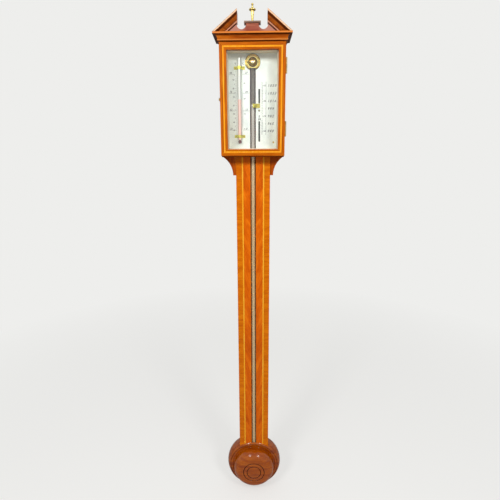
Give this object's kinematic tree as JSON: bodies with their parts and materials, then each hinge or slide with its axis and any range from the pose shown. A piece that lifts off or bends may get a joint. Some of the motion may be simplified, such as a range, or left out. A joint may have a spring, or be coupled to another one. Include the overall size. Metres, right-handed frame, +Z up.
{
  "type": "stick barometer",
  "caption": "Slim wall-hung mahogany stick barometer with a glazed hood, silvered scale with vernier and thermometer, exposed tube and turned cistern cover.",
  "frame": {"origin": "centre of the hanging hole in the brass plate at the top of the back, on the wall plane", "axes": "+Z up along the trunk, +Y into the wall, +X to the viewer's right; the front faces -Y"},
  "size_m": [0.13, 0.0655, 0.979],
  "materials": {
    "carcase_wood": "plain, lightly stained",
    "field_veneer": "figured veneer, french polished",
    "crossbanding": "cross-grained veneer, french polished",
    "boxwood_line": "polished boxwood line",
    "mahogany": "french polished",
    "cornice_mahogany": "french polished, dark",
    "tympanum_wood": "french polished, reddish",
    "cream_paint": "matt cream paint on wood",
    "cover_mahogany": "turned and highly polished",
    "boxwood": "turned, waxed",
    "leather": "soft tanned sheepskin",
    "silvered_brass": "matt silvered and lacquered",
    "brass": "polished and lacquered",
    "steel": "plain",
    "glass": "clear",
    "mercury": "liquid mercury",
    "spirit": "red spirit"
  },
  "bodies": {
    "case": {"barometer_tube": "glass", "bracket_left": "mahogany", "bracket_right": "mahogany", "catch_spring": "steel", "cistern_base_cap": "boxwood", "cistern_body": "boxwood", "cistern_cover": "cover_mahogany", "cistern_leather": "leather", "cistern_lid": "boxwood", "cistern_mercury": "mercury", "cistern_strap": "brass", "cornice_board": "cornice_mahogany", "cornice_front": "cornice_mahogany", "cornice_return_left": "cornice_mahogany", "cornice_return_right": "cornice_mahogany", "cover_screws": "steel", "finial": "brass", "hanging_plate": "brass", "hinge_case_leaves": "brass", "hinge_pins": "brass", "hood_back_cheeks": "carcase_wood", "hood_floor": "mahogany", "hood_roof": "mahogany", "hood_side_left": "mahogany", "hood_side_right": "mahogany", "plinth_cap": "cornice_mahogany", "raking_cornice_left": "cornice_mahogany", "raking_cornice_right": "cornice_mahogany", "recess_slips": "cream_paint", "register_pins": "brass", "register_plate": "silvered_brass", "small_brass_screws": "brass", "thermometer_clips": "brass", "thermometer_glass": "glass", "thermometer_spirit": "spirit", "trunk_core": "carcase_wood", "trunk_crossbanding": "crossbanding", "trunk_field_veneers": "field_veneer", "trunk_stringing": "boxwood_line", "tube_cap": "brass", "tube_gland": "leather", "tympanum": "tympanum_wood"},
    "door": {"door_glass": "glass", "door_glass_beads": "mahogany", "door_pull": "brass", "door_rail_bottom": "mahogany", "door_rail_top": "mahogany", "door_stile_left": "mahogany", "door_stile_right": "mahogany", "door_stringing": "boxwood_line", "hinge_door_leaves": "brass", "hinge_door_screws": "brass"},
    "vernier": {"vernier_slide": "brass", "vernier_plate": "silvered_brass", "vernier_pointer": "brass", "vernier_spring": "brass"},
    "mercury": {"mercury_column": "mercury"},
    "catch": {"catch_plunger": "brass"},
    "transit_pad": {"transit_pad": "boxwood"},
    "transit_screw": {"transit_screw": "brass"}
  },
  "joints": [
    {"name": "door_hinge", "type": "hinge", "parent": "case", "child": "door", "pos_m": [0.05715, -0.04485, -0.0707], "axis": [0, 0, 1], "range_deg": [0, 105]},
    {"name": "vernier_travel", "type": "slide", "parent": "case", "child": "vernier", "axis": [0, 0, 1], "range_m": [-0.0465, 0.0297]},
    {"name": "mercury_rise", "type": "slide", "parent": "case", "child": "mercury", "axis": [0, 0, 1], "range_m": [-0.03634, 0.0297]},
    {"name": "catch_press", "type": "slide", "parent": "case", "child": "catch", "axis": [0, 1, 0], "range_m": [0, 0.0006], "stiffness_N_per_m": 300, "springref_m": -0.002, "deforming": ["catch_spring"]},
    {"name": "transit_pad_lift", "type": "slide", "parent": "case", "child": "transit_pad", "axis": [0, 0, 1], "range_m": [0, 0.004], "deforming": ["cistern_leather", "cistern_mercury"]},
    {"name": "transit_screw_turn", "type": "hinge", "parent": "transit_pad", "child": "transit_screw", "pos_m": [0, -0.0213, -0.8705], "axis": [0, 0, 1], "range_deg": [0, 1800]}
  ],
  "couplings": [
    {"joint": "transit_screw_turn", "follows": "transit_pad_lift", "rad_per_m": 7854}
  ]
}
